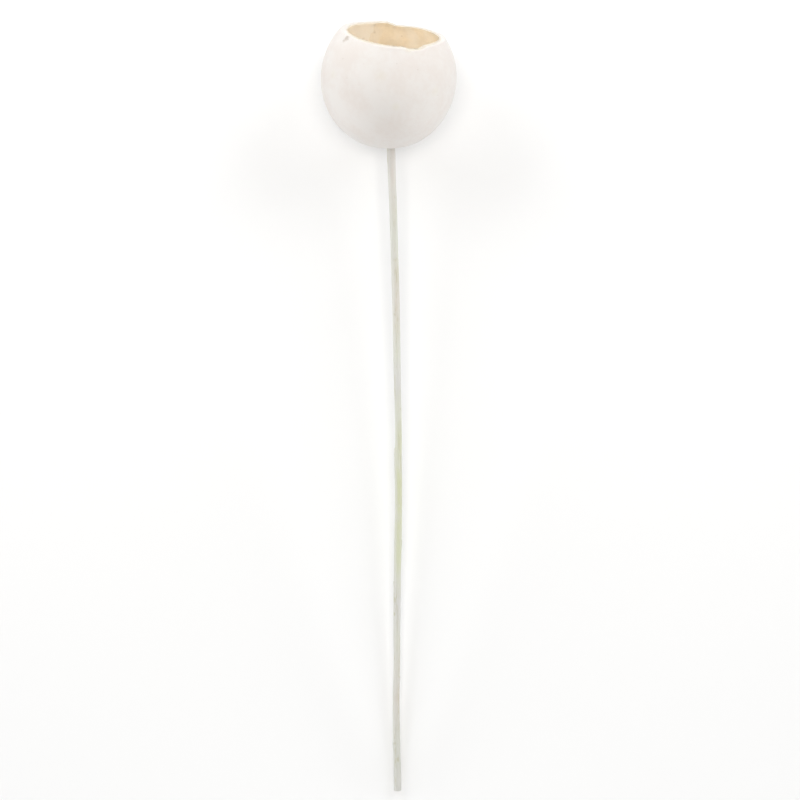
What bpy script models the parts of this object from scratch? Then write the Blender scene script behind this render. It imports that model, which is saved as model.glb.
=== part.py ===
"""Dried bell cup pod: a woody fruit shell, sawn open at the mouth and painted, on a natural stick.

Everything is modelled as the pod stands: the cup's centre at the origin, its mouth up along +Z, its front
towards -Y and the stem below. An empty then lays it on its back on the surface at z = 0, where it touches
with a small flat spot of the cup and with the stem's cut end, and centres it over its footprint.
"""

import math

import bmesh
import bpy
from mathutils import Matrix, Vector

# Driving dimensions of the cup, in metres
CUP_RADIUS = 0.0400
BASE_DEPTH = 0.0414  # from the centre down to the round of the base
SHOULDER_HEIGHT = 0.0420  # from the centre up to where the uncut fruit would close
BASE_DIMPLE = 0.0005  # how far the base is drawn in round the stem
DIMPLE_ANGLE = math.radians(26)  # half the width of that dimple, seen from the centre
OUTER_RIPPLE = 0.0003  # lobes of the skin, as on any grown fruit
OVALITY = 0.0004  # how much less deep the cup is than wide
WALL_AT_MOUTH = 0.0034
WALL_AT_BASE = 0.0040
WALL_UNEVENNESS = 0.0004  # how much thicker the wall is on its thick sides
THICK_SIDE = math.radians(156)
THICK_ENDS = math.radians(120)  # with the opposite azimuth
INNER_RIPPLE = 0.00025  # ridges of the inner wall

# The sawn mouth
MOUTH_HEIGHT = 0.02685  # of the saw cut above the cup's centre
MOUTH_DIP_RIGHT = math.radians(6.0)  # the cut falls to the right
MOUTH_DIP_FRONT = math.radians(6.0)  # and to the front
RIM_RADIUS = 0.0280  # of the middle of the rim, where the next heights are measured
SAW_WANDER = 0.0005  # how far the saw left its plane
STEP_AZIMUTH = math.radians(87)  # a step at the back of the rim, where two saw cuts met
STEP_HALF_WIDTH = math.radians(6)
STEP_FADE = math.radians(42)
STEP_HEIGHT = 0.0019
CHIP_AZIMUTH = math.radians(-60)  # a chip in the front of the rim, to the right
CHIP_HALF_WIDTH = math.radians(15)
CHIP_FLAT = math.radians(4)  # half the width of the chip's level bottom
CHIP_DEPTH = 0.0011

# The stem: (sideways, backwards, height, radius) down the stick, with its knots as small swellings
STEM_ROUTE = (
    (0.00120, 0.0000, -0.0350, 0.00245),
    (0.00150, 0.0000, -0.0430, 0.00250),
    (0.00185, 0.0000, -0.0560, 0.00240),
    (0.00260, 0.0001, -0.0750, 0.00233),
    (0.00340, 0.0003, -0.1030, 0.00228),
    (0.00430, 0.0006, -0.1350, 0.00224),
    (0.00500, 0.0009, -0.1720, 0.00216),
    (0.00570, 0.0011, -0.2080, 0.00202),
    (0.00580, 0.0012, -0.2220, 0.00202),
    (0.00555, 0.0012, -0.2320, 0.00226),
    (0.00580, 0.0011, -0.2500, 0.00218),
    (0.00585, 0.0009, -0.2660, 0.00211),
    (0.00556, 0.0008, -0.2850, 0.00228),
    (0.00520, 0.0006, -0.3050, 0.00216),
    (0.00503, 0.0005, -0.3200, 0.00225),
    (0.00483, 0.0004, -0.3450, 0.00206),
    (0.00480, 0.0003, -0.3680, 0.00196),
    (0.00435, 0.0002, -0.3900, 0.00206),
    (0.00450, 0.0001, -0.4130, 0.00216),
    (0.00500, 0.0001, -0.4360, 0.00220),
    (0.00525, 0.0000, -0.4515, 0.00226),
)
STEM_RINGS_PER_POINT = 3
STEM_BEVEL_STEPS = 4  # twelve sides
HOLE_CLEARANCE = 0.00035  # between the stem and the hole that it stands in
HOLE_MARGIN = 0.004  # how far the drill runs past the wall at each end

# The drop of glue that holds the stem inside the cup
GLUE_RADIUS = 0.0070
GLUE_HEIGHT = 0.0044
GLUE_CENTRE_HEIGHT = -0.0370
GLUE_GAP = 0.0003

# How the pod lies
FLAT_DEPTH = 0.00035  # how much of the cup's roundness the resting spot takes away
SURFACE_CUTTER_SIZE = 0.03

# Facets round the cup and from pole to pole
CUP_SIDES = 52
CUP_RINGS = 34
GLUE_SIDES = 24
GLUE_RINGS = 12
HOLE_SIDES = 24
MOUTH_CUTTER_SIDES = 72
MOUTH_CUTTER_RADIUS = 0.036
MOUTH_CUTTER_HEIGHT = 0.030

PAINTED_SHELL = ((0.84, 0.80, 0.76, 1.0), 0.75)
PAINTED_STICK = ((0.74, 0.73, 0.64, 1.0), 0.70)
SET_GLUE = ((0.80, 0.72, 0.52, 1.0), 0.30)


def clear_scene():
    for obj in list(bpy.data.objects):
        bpy.data.objects.remove(obj, do_unlink=True)


def new_collection(name):
    collection = bpy.data.collections.new(name)
    bpy.context.scene.collection.children.link(collection)
    return collection


def new_material(name, finish):
    colour, roughness = finish
    material = bpy.data.materials.new(name)
    material.use_nodes = True
    shader = material.node_tree.nodes["Principled BSDF"]
    shader.inputs["Base Color"].default_value = colour
    shader.inputs["Roughness"].default_value = roughness
    shader.inputs["Metallic"].default_value = 0.0
    material.diffuse_color = colour
    return material


def object_from(bm, name, collection, material=None):
    """A bmesh as an object, shaded smooth except over its sharp edges."""
    mesh = bpy.data.meshes.new(name)
    bm.to_mesh(mesh)
    bm.free()
    mesh.shade_smooth()
    mesh.set_sharp_from_angle(angle=math.radians(35))
    obj = bpy.data.objects.new(name, mesh)
    collection.objects.link(obj)
    if material:
        mesh.materials.append(material)
    return obj


def hide_as_cutter(obj):
    obj.hide_render = True
    obj.display_type = "WIRE"


def boolean(target, cutter, operation="DIFFERENCE"):
    modifier = target.modifiers.new(f"{operation.title()} {cutter.name}", "BOOLEAN")
    modifier.object = cutter
    modifier.operation = operation
    modifier.solver = "EXACT"


def smooth_step(value):
    value = min(max(value, 0.0), 1.0)
    return value * value * (3.0 - 2.0 * value)


def skin_radius(direction):
    """How far the cup's skin is from its centre in a direction, before the mouth is sawn."""
    height = SHOULDER_HEIGHT if direction.z > 0 else BASE_DEPTH
    across = (direction.x**2 + direction.y**2) / CUP_RADIUS**2
    ball = 1.0 / math.sqrt(across + direction.z**2 / height**2)
    azimuth = math.atan2(direction.y, direction.x)
    from_base = direction.angle(Vector((0, 0, -1)), 0.0)
    girth = direction.x**2 + direction.y**2
    lobes = OUTER_RIPPLE * girth * math.sin(3 * azimuth + 2.6 * direction.z + 0.5)
    oval = OVALITY * direction.y**2
    dimple = BASE_DIMPLE * (1.0 - smooth_step(from_base / DIMPLE_ANGLE))
    return ball + lobes - oval - dimple


def wall(direction):
    """The shell's thickness, which grows from the mouth to the base and differs from side to side."""
    azimuth = math.atan2(direction.y, direction.x)
    girth = direction.x**2 + direction.y**2
    sides = math.cos(azimuth - THICK_SIDE) + math.cos(2 * (azimuth - THICK_ENDS))
    towards_base = smooth_step(0.5 - 0.6 * direction.z)
    even = WALL_AT_MOUTH + (WALL_AT_BASE - WALL_AT_MOUTH) * towards_base
    return even + WALL_UNEVENNESS * girth * sides


def inner_radius(direction):
    azimuth = math.atan2(direction.y, direction.x)
    girth = direction.x**2 + direction.y**2
    ridges = math.sin(5 * azimuth + 4.0 * direction.z) + 0.5 * math.sin(9 * azimuth - 6.0 * direction.z)
    return skin_radius(direction) - wall(direction) + INNER_RIPPLE * girth * ridges


def round_body(radius_in_direction, sides=CUP_SIDES, rings=CUP_RINGS):
    """A ball whose every point is moved to the distance that a function gives for its direction."""
    bm = bmesh.new()
    bmesh.ops.create_uvsphere(bm, u_segments=sides, v_segments=rings, radius=1.0)
    for vert in bm.verts:
        direction = vert.co.normalized()
        vert.co = direction * radius_in_direction(direction)
    return bm


def turn_between(azimuth, other):
    """The signed angle from one azimuth to another, between minus and plus half a turn."""
    return (azimuth - other + math.pi) % math.tau - math.pi


def saw_line(azimuth):
    """How far the saw left its plane, at an azimuth round the rim."""
    from_chip = abs(turn_between(azimuth, CHIP_AZIMUTH)) - CHIP_FLAT
    chip = 1.0 - smooth_step(from_chip / (CHIP_HALF_WIDTH - CHIP_FLAT))
    past_step = turn_between(azimuth, STEP_AZIMUTH)
    rise = smooth_step(abs(past_step) / STEP_HALF_WIDTH) * (1.0 - smooth_step(abs(past_step) / STEP_FADE))
    step = math.copysign(STEP_HEIGHT / 2, past_step) * rise
    return SAW_WANDER * math.cos(2 * azimuth) + step - CHIP_DEPTH * chip


def make_mouth_cutter(collection):
    """A plug whose wavy underside is the saw cut, leaning to the right and to the front."""
    bm = bmesh.new()
    bmesh.ops.create_cone(
        bm,
        cap_ends=True,
        cap_tris=True,
        segments=MOUTH_CUTTER_SIDES,
        radius1=MOUTH_CUTTER_RADIUS,
        radius2=MOUTH_CUTTER_RADIUS,
        depth=MOUTH_CUTTER_HEIGHT,
        matrix=Matrix.Translation((0, 0, MOUTH_CUTTER_HEIGHT / 2)),
    )
    for vert in bm.verts:
        on_underside = vert.co.z < MOUTH_CUTTER_HEIGHT / 2
        if on_underside and vert.co.xy.length > MOUTH_CUTTER_RADIUS / 2:
            at_rim = saw_line(math.atan2(vert.co.y, vert.co.x))
            vert.co.z += at_rim * MOUTH_CUTTER_RADIUS / RIM_RADIUS
    cutter = object_from(bm, "mouth_saw", collection)
    cutter.rotation_euler = (MOUTH_DIP_FRONT, MOUTH_DIP_RIGHT, 0)
    cutter.location = (0, 0, MOUTH_HEIGHT)
    hide_as_cutter(cutter)
    return cutter


def make_cylinder_along(name, start, end, radius, sides, collection):
    """A cylinder from start to end, as a drill or the end of the stem would leave it."""
    along = Vector(end) - Vector(start)
    turn = along.to_track_quat("Z", "Y").to_matrix().to_4x4()
    bm = bmesh.new()
    bmesh.ops.create_cone(
        bm,
        cap_ends=True,
        segments=sides,
        radius1=radius,
        radius2=radius,
        depth=along.length,
        matrix=Matrix.Translation((Vector(start) + Vector(end)) / 2) @ turn,
    )
    cutter = object_from(bm, name, collection)
    hide_as_cutter(cutter)
    return cutter


def stem_root():
    """The stem's end inside the cup, the point below the base, and the larger of their radii."""
    first, second = STEM_ROUTE[:2]
    return Vector(first[:3]), Vector(second[:3]), max(first[3], second[3])


def make_stem_drill(collection):
    top, below, radius = stem_root()
    run_past = (top - below).normalized() * HOLE_MARGIN
    return make_cylinder_along(
        "stem_drill", below - run_past, top + run_past, radius + HOLE_CLEARANCE, HOLE_SIDES, collection
    )


def make_cup(collection, cutters, material):
    """The shell: its skin less its hollow, sawn open at the mouth and drilled for the stem."""
    cup = object_from(round_body(skin_radius), "cup", collection, material)
    hollow = object_from(round_body(inner_radius), "hollow", cutters)
    hide_as_cutter(hollow)
    boolean(cup, hollow)
    boolean(cup, make_mouth_cutter(cutters))
    boolean(cup, make_stem_drill(cutters))
    return cup


def make_stem(collection, material):
    """The stick, a smooth curve through its route with its own thickness at each point."""
    curve = bpy.data.curves.new("stem", "CURVE")
    curve.dimensions = "3D"
    curve.resolution_u = STEM_RINGS_PER_POINT
    curve.bevel_depth = 1.0
    curve.bevel_resolution = STEM_BEVEL_STEPS
    curve.use_fill_caps = True
    spline = curve.splines.new("BEZIER")
    spline.bezier_points.add(len(STEM_ROUTE) - 1)
    for point, (sideways, backwards, height, radius) in zip(spline.bezier_points, STEM_ROUTE):
        point.co = (sideways, backwards, height)
        point.handle_left_type = point.handle_right_type = "AUTO"
        point.radius = radius
    curve.materials.append(material)
    stem = bpy.data.objects.new("stem", curve)
    collection.objects.link(stem)
    return stem


def make_glue_bead(collection, cutters, material):
    """A low drop round the stem's end, clear of the cup's floor and of the stem by a hair."""
    top, below, radius = stem_root()

    def drop_radius(direction):
        uneven = 1.0 + 0.08 * math.sin(3 * math.atan2(direction.y, direction.x) + 1.0)
        across = direction.xy.length_squared / (GLUE_RADIUS * uneven) ** 2
        return 1.0 / math.sqrt(across + direction.z**2 / GLUE_HEIGHT**2)

    bm = round_body(drop_radius, GLUE_SIDES, GLUE_RINGS)
    bmesh.ops.translate(bm, verts=bm.verts, vec=(top.x, top.y, GLUE_CENTRE_HEIGHT))
    bead = object_from(bm, "glue_bead", collection, material)
    room = object_from(
        round_body(lambda direction: inner_radius(direction) - GLUE_GAP), "glue_room", cutters
    )
    hide_as_cutter(room)
    upwards = (top - below).normalized()
    socket = make_cylinder_along(
        "glue_socket",
        below,
        top + upwards * GLUE_GAP,
        radius + HOLE_CLEARANCE,
        HOLE_SIDES,
        cutters,
    )
    boolean(bead, room, "INTERSECT")
    boolean(bead, socket)
    return bead


def lean_when_lying(centre_height):
    """How far the mouth is raised when the stem's end comes down on the surface."""
    _, backwards, height, radius = STEM_ROUTE[-1]
    reach = math.hypot(height, backwards + radius)
    return math.asin(centre_height / reach) - math.atan2(backwards + radius, -height)


def lay_down(parts, cutters):
    """Tips the standing pod onto its back. The cup's centre stays over the scene's origin."""
    back = skin_radius(Vector((0, 1, 0)))
    centre_height = back - FLAT_DEPTH
    lean = lean_when_lying(centre_height)
    rest_frame = bpy.data.objects.new("lying_pod", None)
    bpy.context.scene.collection.objects.link(rest_frame)
    rest_frame.location = (0, 0, centre_height)
    rest_frame.rotation_euler = (lean - math.pi / 2, 0, 0)
    for obj in (*parts, *cutters.objects):
        obj.parent = rest_frame
    return rest_frame


def flatten_resting_spot(cup, cutters):
    """Takes off what would reach below the surface, which leaves a flat spot under the cup."""
    bm = bmesh.new()
    bmesh.ops.create_cube(bm, size=SURFACE_CUTTER_SIZE)
    bmesh.ops.translate(bm, verts=bm.verts, vec=(0, 0, -SURFACE_CUTTER_SIZE / 2))
    surface = object_from(bm, "surface_block", cutters)
    hide_as_cutter(surface)
    boolean(cup, surface)
    return surface


def centre_over_footprint(parts, rest_frame, surface):
    """Slides the pod over the surface until the origin is at the middle of its footprint."""
    bpy.context.view_layer.update()
    graph = bpy.context.evaluated_depsgraph_get()
    corners = []
    for obj in parts:
        evaluated = obj.evaluated_get(graph)
        mesh = evaluated.to_mesh()
        corners += [evaluated.matrix_world @ vert.co for vert in mesh.vertices]
        evaluated.to_mesh_clear()
    for axis in (0, 1):
        across = [corner[axis] for corner in corners]
        middle = (min(across) + max(across)) / 2
        rest_frame.location[axis] -= middle
        surface.location[axis] -= middle


def main():
    clear_scene()
    pod = new_collection("bell_cup_pod")
    cutters = new_collection("cutters")
    parts = [
        make_cup(pod, cutters, new_material("painted_shell", PAINTED_SHELL)),
        make_stem(pod, new_material("painted_stick", PAINTED_STICK)),
        make_glue_bead(pod, cutters, new_material("set_glue", SET_GLUE)),
    ]
    rest_frame = lay_down(parts, cutters)
    surface = flatten_resting_spot(parts[0], cutters)
    centre_over_footprint(parts, rest_frame, surface)


main()
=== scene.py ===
"""A dried bell cup pod: its sawn, painted shell, the natural stick that carries it and the glue between.

Shapes are worked out as the pod stands, with the cup's centre at the origin, the mouth up along +Z and the
front towards -Y, and are then laid on their back where the CAD cup lies. Lengths are in metres.
"""

import math

import bmesh
import bpy
from bpy.props import FloatProperty, FloatVectorProperty, IntProperty, PointerProperty
from mathutils import Euler, Matrix, Vector, noise


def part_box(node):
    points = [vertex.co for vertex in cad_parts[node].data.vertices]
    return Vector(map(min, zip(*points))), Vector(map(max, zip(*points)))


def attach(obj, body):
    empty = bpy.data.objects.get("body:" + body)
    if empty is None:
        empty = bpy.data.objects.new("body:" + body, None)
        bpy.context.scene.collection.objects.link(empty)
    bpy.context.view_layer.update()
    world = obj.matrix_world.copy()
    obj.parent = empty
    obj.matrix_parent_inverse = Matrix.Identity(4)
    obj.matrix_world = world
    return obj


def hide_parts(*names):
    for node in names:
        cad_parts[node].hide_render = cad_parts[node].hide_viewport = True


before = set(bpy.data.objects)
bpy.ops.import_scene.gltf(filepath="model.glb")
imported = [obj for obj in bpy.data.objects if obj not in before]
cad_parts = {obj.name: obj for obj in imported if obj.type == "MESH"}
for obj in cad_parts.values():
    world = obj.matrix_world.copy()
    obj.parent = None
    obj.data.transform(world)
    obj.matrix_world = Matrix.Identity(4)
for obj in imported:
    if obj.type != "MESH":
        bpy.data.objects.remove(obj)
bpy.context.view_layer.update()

bl_info = {
    "name": "Dried Bell Cup Pod",
    "version": (1, 0, 0),
    "blender": (4, 5, 0),
    "location": "3D View > Sidebar > Bell Cup",
    "description": "Builds a painted bell cup pod on a natural stick, lying on a pale studio floor",
    "category": "Add Mesh",
}

CUP_LOW, CUP_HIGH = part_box("cup")

UP = Vector((0, 0, 1))
TO_RADIANS = math.pi / 180
MM = 0.001

# Where the cup's centre lies from the CAD cup's base and from its middle, which the frame gives
BASE_REACH = 0.04093
CENTRE_SHIFT = -0.000144
FLAT_DEPTH = 0.00035

# Form of the skin and of the sawn mouth, the same as the CAD cup's
BASE_DIMPLE = 0.0005
DIMPLE_ANGLE = 26 * TO_RADIANS
SKIN_LOBES = 0.0003
OVALITY = 0.0004
INNER_RIDGES = 0.00025
WALL_UNEVENNESS = 0.0004
THICK_SIDE = 156 * TO_RADIANS
THICK_ENDS = 120 * TO_RADIANS
RIM_RADIUS = 0.0280
SAW_WANDER = 0.0005
STEP_AZIMUTH = 87 * TO_RADIANS
STEP_HALF_WIDTH = 6 * TO_RADIANS
STEP_FADE = 42 * TO_RADIANS
STEP_HEIGHT = 0.0019
CHIP_AZIMUTH = -60 * TO_RADIANS
CHIP_HALF_WIDTH = 15 * TO_RADIANS
CHIP_FLAT = 4 * TO_RADIANS

# The stem: (sideways, backwards, height, radius) down the stick, the same route as the CAD stem's
STEM_ROUTE = (
    (0.00120, 0.0000, -0.0350, 0.00245),
    (0.00150, 0.0000, -0.0430, 0.00250),
    (0.00185, 0.0000, -0.0560, 0.00240),
    (0.00260, 0.0001, -0.0750, 0.00233),
    (0.00340, 0.0003, -0.1030, 0.00228),
    (0.00430, 0.0006, -0.1350, 0.00224),
    (0.00500, 0.0009, -0.1720, 0.00216),
    (0.00570, 0.0011, -0.2080, 0.00202),
    (0.00580, 0.0012, -0.2220, 0.00202),
    (0.00555, 0.0012, -0.2320, 0.00226),
    (0.00580, 0.0011, -0.2500, 0.00218),
    (0.00585, 0.0009, -0.2660, 0.00211),
    (0.00556, 0.0008, -0.2850, 0.00228),
    (0.00520, 0.0006, -0.3050, 0.00216),
    (0.00503, 0.0005, -0.3200, 0.00225),
    (0.00483, 0.0004, -0.3450, 0.00206),
    (0.00480, 0.0003, -0.3680, 0.00196),
    (0.00435, 0.0002, -0.3900, 0.00206),
    (0.00450, 0.0001, -0.4130, 0.00216),
    (0.00500, 0.0001, -0.4360, 0.00220),
    (0.00525, 0.0000, -0.4515, 0.00226),
)
# The play round the stick in its hole, and how far up from the base rings stay centred on the hole
HOLE_CLEARANCE = 0.00035
HOLE_CENTRED = 70 * TO_RADIANS
# The angles from the base between which the saw cut is found, and how often they are halved
RIM_BETWEEN = (80 * TO_RADIANS, 170 * TO_RADIANS)
RIM_HALVINGS = 26
# The height of the glue's middle, the gap that keeps it off the wall, and how uneven its edge is
GLUE_HEIGHT = -0.0370
GLUE_GAP = 0.00002
GLUE_LOBES = 0.08
GLUE_LUMPS = 0.07

# Bruises of the skin: (azimuth in degrees, height, radius, depth)
SKIN_DENTS = (
    (-118, 0.012, 0.0085, 0.00022),
    (-64, -0.016, 0.0110, 0.00026),
    (-20, 0.009, 0.0090, 0.00020),
    (28, -0.010, 0.0120, 0.00024),
    (74, 0.006, 0.0100, 0.00022),
    (126, -0.014, 0.0115, 0.00026),
    (171, 0.014, 0.0080, 0.00020),
    (-158, -0.020, 0.0100, 0.00022),
)

# Brown flaws where the paint broke away or the wall is bruised:
# (azimuth in degrees, height, distance from the axis, radius, strength)
BROWN_FLAWS = (
    (-139.6, 0.0263, 0.0313, 0.0044, 0.80),
    (-142.5, 0.0248, 0.0322, 0.0032, 0.62),
    (-127.6, 0.0262, 0.0276, 0.0020, 0.60),
    (119.7, 0.0198, 0.0308, 0.0034, 0.50),
    (114.9, 0.0187, 0.0314, 0.0028, 0.45),
    (107.6, 0.0240, 0.0282, 0.0032, 0.50),
    (-84.0, 0.0229, 0.0297, 0.0022, 0.95),
    (-79.0, 0.0227, 0.0298, 0.0024, 1.00),
    (-74.0, 0.0224, 0.0298, 0.0024, 1.00),
    (-59.0, 0.0209, 0.0306, 0.0030, 1.00),
    (33.0, 0.0120, 0.0345, 0.0016, 0.38),
)
# Faint yellow stains on the shell, the first of them under the chip, given in the same way
SHELL_STAINS = (
    (-70.5, 0.0208, 0.0342, 0.0030, 0.90),
    (-95.6, 0.0070, 0.0393, 0.0048, 0.45),
    (-46.3, -0.0035, 0.0394, 0.0045, 0.50),
    (-83.3, -0.0110, 0.0385, 0.0040, 0.60),
    (-144.2, 0.0056, 0.0394, 0.0045, 0.45),
    (38.0, -0.0040, 0.0397, 0.0050, 0.40),
    (140.0, 0.0080, 0.0390, 0.0045, 0.40),
)
# Painted shade: grey patches high on the inner wall, under the back of the rim, given in the same way
WALL_PAINTED_SHADE = (
    (111.0, 0.0286, 0.0243, 0.0026, 0.90),
    (102.5, 0.0291, 0.0235, 0.0026, 0.80),
    (91.0, 0.0284, 0.0242, 0.0026, 0.80),
    (83.0, 0.0270, 0.0257, 0.0022, 0.70),
    (15.0, 0.0234, 0.0294, 0.0030, 0.60),
    (140.0, 0.0180, 0.0318, 0.0040, 0.35),
)

# Paint that drifted over the rim, in millimetres: at its left and right, and more at its left
OVERSPRAY = 1.1
LEFT_OVERSPRAY = 0.5

# The papery skin left inside the wall: from one azimuth to the other, and down to a height
MEMBRANE_FROM = 110.5 * TO_RADIANS
MEMBRANE_TO = 214 * TO_RADIANS
MEMBRANE_FLOOR = -0.004
MEMBRANE_THICKNESS = 0.00022

# Knots of the stick: (height, azimuth in degrees, how far it stands out, half its length)
STEM_KNOTS = (
    (-0.2262, 180, 0.00042, 0.0026),
    (-0.2850, 0, 0.00030, 0.0032),
    (-0.3120, 160, 0.00026, 0.0022),
    (-0.3745, -20, 0.00030, 0.0026),
    (-0.1080, -60, 0.00022, 0.0024),
    (-0.1690, 120, 0.00024, 0.0024),
    (-0.4190, 200, 0.00024, 0.0022),
    (-0.0700, 70, 0.00016, 0.0020),
)
# Tint of the washed bark down the stick, by height: rosy here and there, greenest half way
WASH_TINTS = (
    (-0.452, (0.54, 0.53, 0.50)),
    (-0.420, (0.52, 0.53, 0.45)),
    (-0.392, (0.58, 0.53, 0.47)),
    (-0.350, (0.59, 0.59, 0.51)),
    (-0.326, (0.60, 0.59, 0.57)),
    (-0.298, (0.58, 0.60, 0.44)),
    (-0.260, (0.56, 0.58, 0.38)),
    (-0.212, (0.58, 0.60, 0.44)),
    (-0.184, (0.60, 0.59, 0.57)),
    (-0.165, (0.60, 0.61, 0.51)),
    (-0.135, (0.62, 0.57, 0.50)),
    (-0.095, (0.60, 0.61, 0.53)),
    (-0.055, (0.62, 0.58, 0.54)),
)
# The side of the stick that most of the paint reached
SPRAYED_SIDE = 190 * TO_RADIANS
# How finely the grain of the cut end is drawn
CUT_GRAIN = 2500
# Pits of the stick, which are darker than its knots: (height, azimuth in degrees, depth, radius)
PIT_DARKNESS = 2.4
STEM_PITS = (
    (-0.3235, -148, 0.00034, 0.0013),
    (-0.3330, -146, 0.00030, 0.0011),
    (-0.3620, -160, 0.00034, 0.0014),
    (-0.2010, -40, 0.00022, 0.0010),
    (-0.1420, -120, 0.00020, 0.0009),
    (-0.4300, -70, 0.00024, 0.0011),
)


class BellCupShellSettings(bpy.types.PropertyGroup):
    cup_radius: FloatProperty(
        name="Cup radius",
        description="Half the cup's width at its widest",
        default=(CUP_HIGH.x - CUP_LOW.x) / 2,
        unit="LENGTH",
    )
    base_depth: FloatProperty(
        name="Base depth",
        description="From the cup's centre down to the round of its base",
        default=0.0414,
        unit="LENGTH",
    )
    shoulder_height: FloatProperty(
        name="Shoulder height",
        description="From the cup's centre up to where the whole fruit would have closed",
        default=0.0420,
        unit="LENGTH",
    )
    wall_at_mouth: FloatProperty(
        name="Wall at mouth", description="Shell thickness at the mouth", default=0.0034, unit="LENGTH"
    )
    wall_at_base: FloatProperty(
        name="Wall at base", description="Shell thickness at the base", default=0.0040, unit="LENGTH"
    )
    mouth_height: FloatProperty(
        name="Mouth height",
        description="Height of the saw cut above the cup's centre",
        default=0.02685,
        unit="LENGTH",
    )
    mouth_dip_right: FloatProperty(
        name="Mouth dip, right",
        description="How far the saw cut falls to the right",
        default=6.0 * TO_RADIANS,
        unit="ROTATION",
    )
    mouth_dip_front: FloatProperty(
        name="Mouth dip, front",
        description="How far the saw cut falls to the front",
        default=6.0 * TO_RADIANS,
        unit="ROTATION",
    )
    chip_depth: FloatProperty(
        name="Chip depth", description="Depth of the chip in the rim", default=0.0011, unit="LENGTH"
    )
    sides: IntProperty(name="Sides", description="Facets round the cup", default=320, min=24)
    paint_colour: FloatVectorProperty(
        name="Paint", description="Matte paint on the shell", default=(0.680, 0.652, 0.624), subtype="COLOR"
    )
    paint_shade: FloatVectorProperty(
        name="Paint, thin",
        description="The same paint where it lies thin and the shell shows through",
        default=(0.660, 0.614, 0.578),
        subtype="COLOR",
    )
    rim_colour: FloatVectorProperty(
        name="Sawn rim", description="Freshly sawn shell", default=(0.600, 0.535, 0.430), subtype="COLOR"
    )
    inside_colour: FloatVectorProperty(
        name="Inside", description="Bare inner wall", default=(0.980, 0.860, 0.680), subtype="COLOR"
    )
    membrane_colour: FloatVectorProperty(
        name="Membrane",
        description="Papery skin left on the inner wall",
        default=(0.980, 0.920, 0.825),
        subtype="COLOR",
    )
    # Used for the brown flaws, and also for the painted shadow line along the membrane's edge
    flaw_and_shadow_colour: FloatVectorProperty(
        name="Flaws",
        description="Bark brown under broken paint",
        default=(0.300, 0.225, 0.155),
        subtype="COLOR",
    )
    stain_colour: FloatVectorProperty(
        name="Stains",
        description="Sap that yellowed the paint",
        default=(0.650, 0.605, 0.470),
        subtype="COLOR",
    )
    # Colour of the painted shade high on the inner wall, under the back of the rim
    painted_shade_colour: FloatVectorProperty(
        name="Shadows",
        description="Grey dust high on the inner wall",
        default=(0.420, 0.380, 0.310),
        subtype="COLOR",
    )


class BellCupStemSettings(bpy.types.PropertyGroup):
    sides: IntProperty(name="Sides", description="Facets round the stick", default=40, min=8)
    ring_pitch: FloatProperty(
        name="Ring pitch",
        description="Distance between rings along the stick",
        default=0.00055,
        unit="LENGTH",
    )
    wash_colour: FloatVectorProperty(
        name="Whitewash", description="Thin white wash", default=(0.620, 0.615, 0.585), subtype="COLOR"
    )
    wood_colour: FloatVectorProperty(
        name="Bare stick",
        description="Green grey bark that the wash leaves showing",
        default=(0.490, 0.470, 0.350),
        subtype="COLOR",
    )
    pith_colour: FloatVectorProperty(
        name="Cut end",
        description="Pale wood of the cut end",
        default=(0.640, 0.540, 0.390),
        subtype="COLOR",
    )


class BellCupGlueSettings(bpy.types.PropertyGroup):
    bead_radius: FloatProperty(
        name="Bead radius", description="Half the glue bead's width", default=0.0068, unit="LENGTH"
    )
    bead_height: FloatProperty(
        name="Bead height", description="Height of the bead above its centre", default=0.0043, unit="LENGTH"
    )
    colour: FloatVectorProperty(
        name="Glue", description="Cloudy amber glue", default=(0.780, 0.610, 0.350), subtype="COLOR"
    )


class BellCupStageSettings(bpy.types.PropertyGroup):
    floor_colour: FloatVectorProperty(
        name="Floor", description="Pale studio floor", default=(0.865, 0.865, 0.863), subtype="COLOR"
    )
    fill: FloatProperty(name="Fill", description="Strength of the even light from all round", default=0.10)
    backdrop: FloatProperty(
        name="Backdrop", description="Brightness behind the floor's far edge", default=0.92
    )
    brightness: FloatProperty(
        name="Brightness", description="Scales the power of every softbox", default=1.0
    )
    lens: FloatProperty(name="Lens", description="Focal length in millimetres", default=115.0)


SETTINGS = {
    "bell_cup_shell": BellCupShellSettings,
    "bell_cup_stem": BellCupStemSettings,
    "bell_cup_glue": BellCupGlueSettings,
    "bell_cup_stage": BellCupStageSettings,
}


def smooth_step(value):
    value = min(max(value, 0.0), 1.0)
    return value * value * (3.0 - 2.0 * value)


def turn_between(azimuth, other):
    """The signed angle from one azimuth to another, between minus and plus half a turn."""
    return (azimuth - other + math.pi) % math.tau - math.pi


def on_cylinder(azimuth, height, radius=1.0):
    return Vector((radius * math.cos(azimuth), radius * math.sin(azimuth), height))


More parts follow.
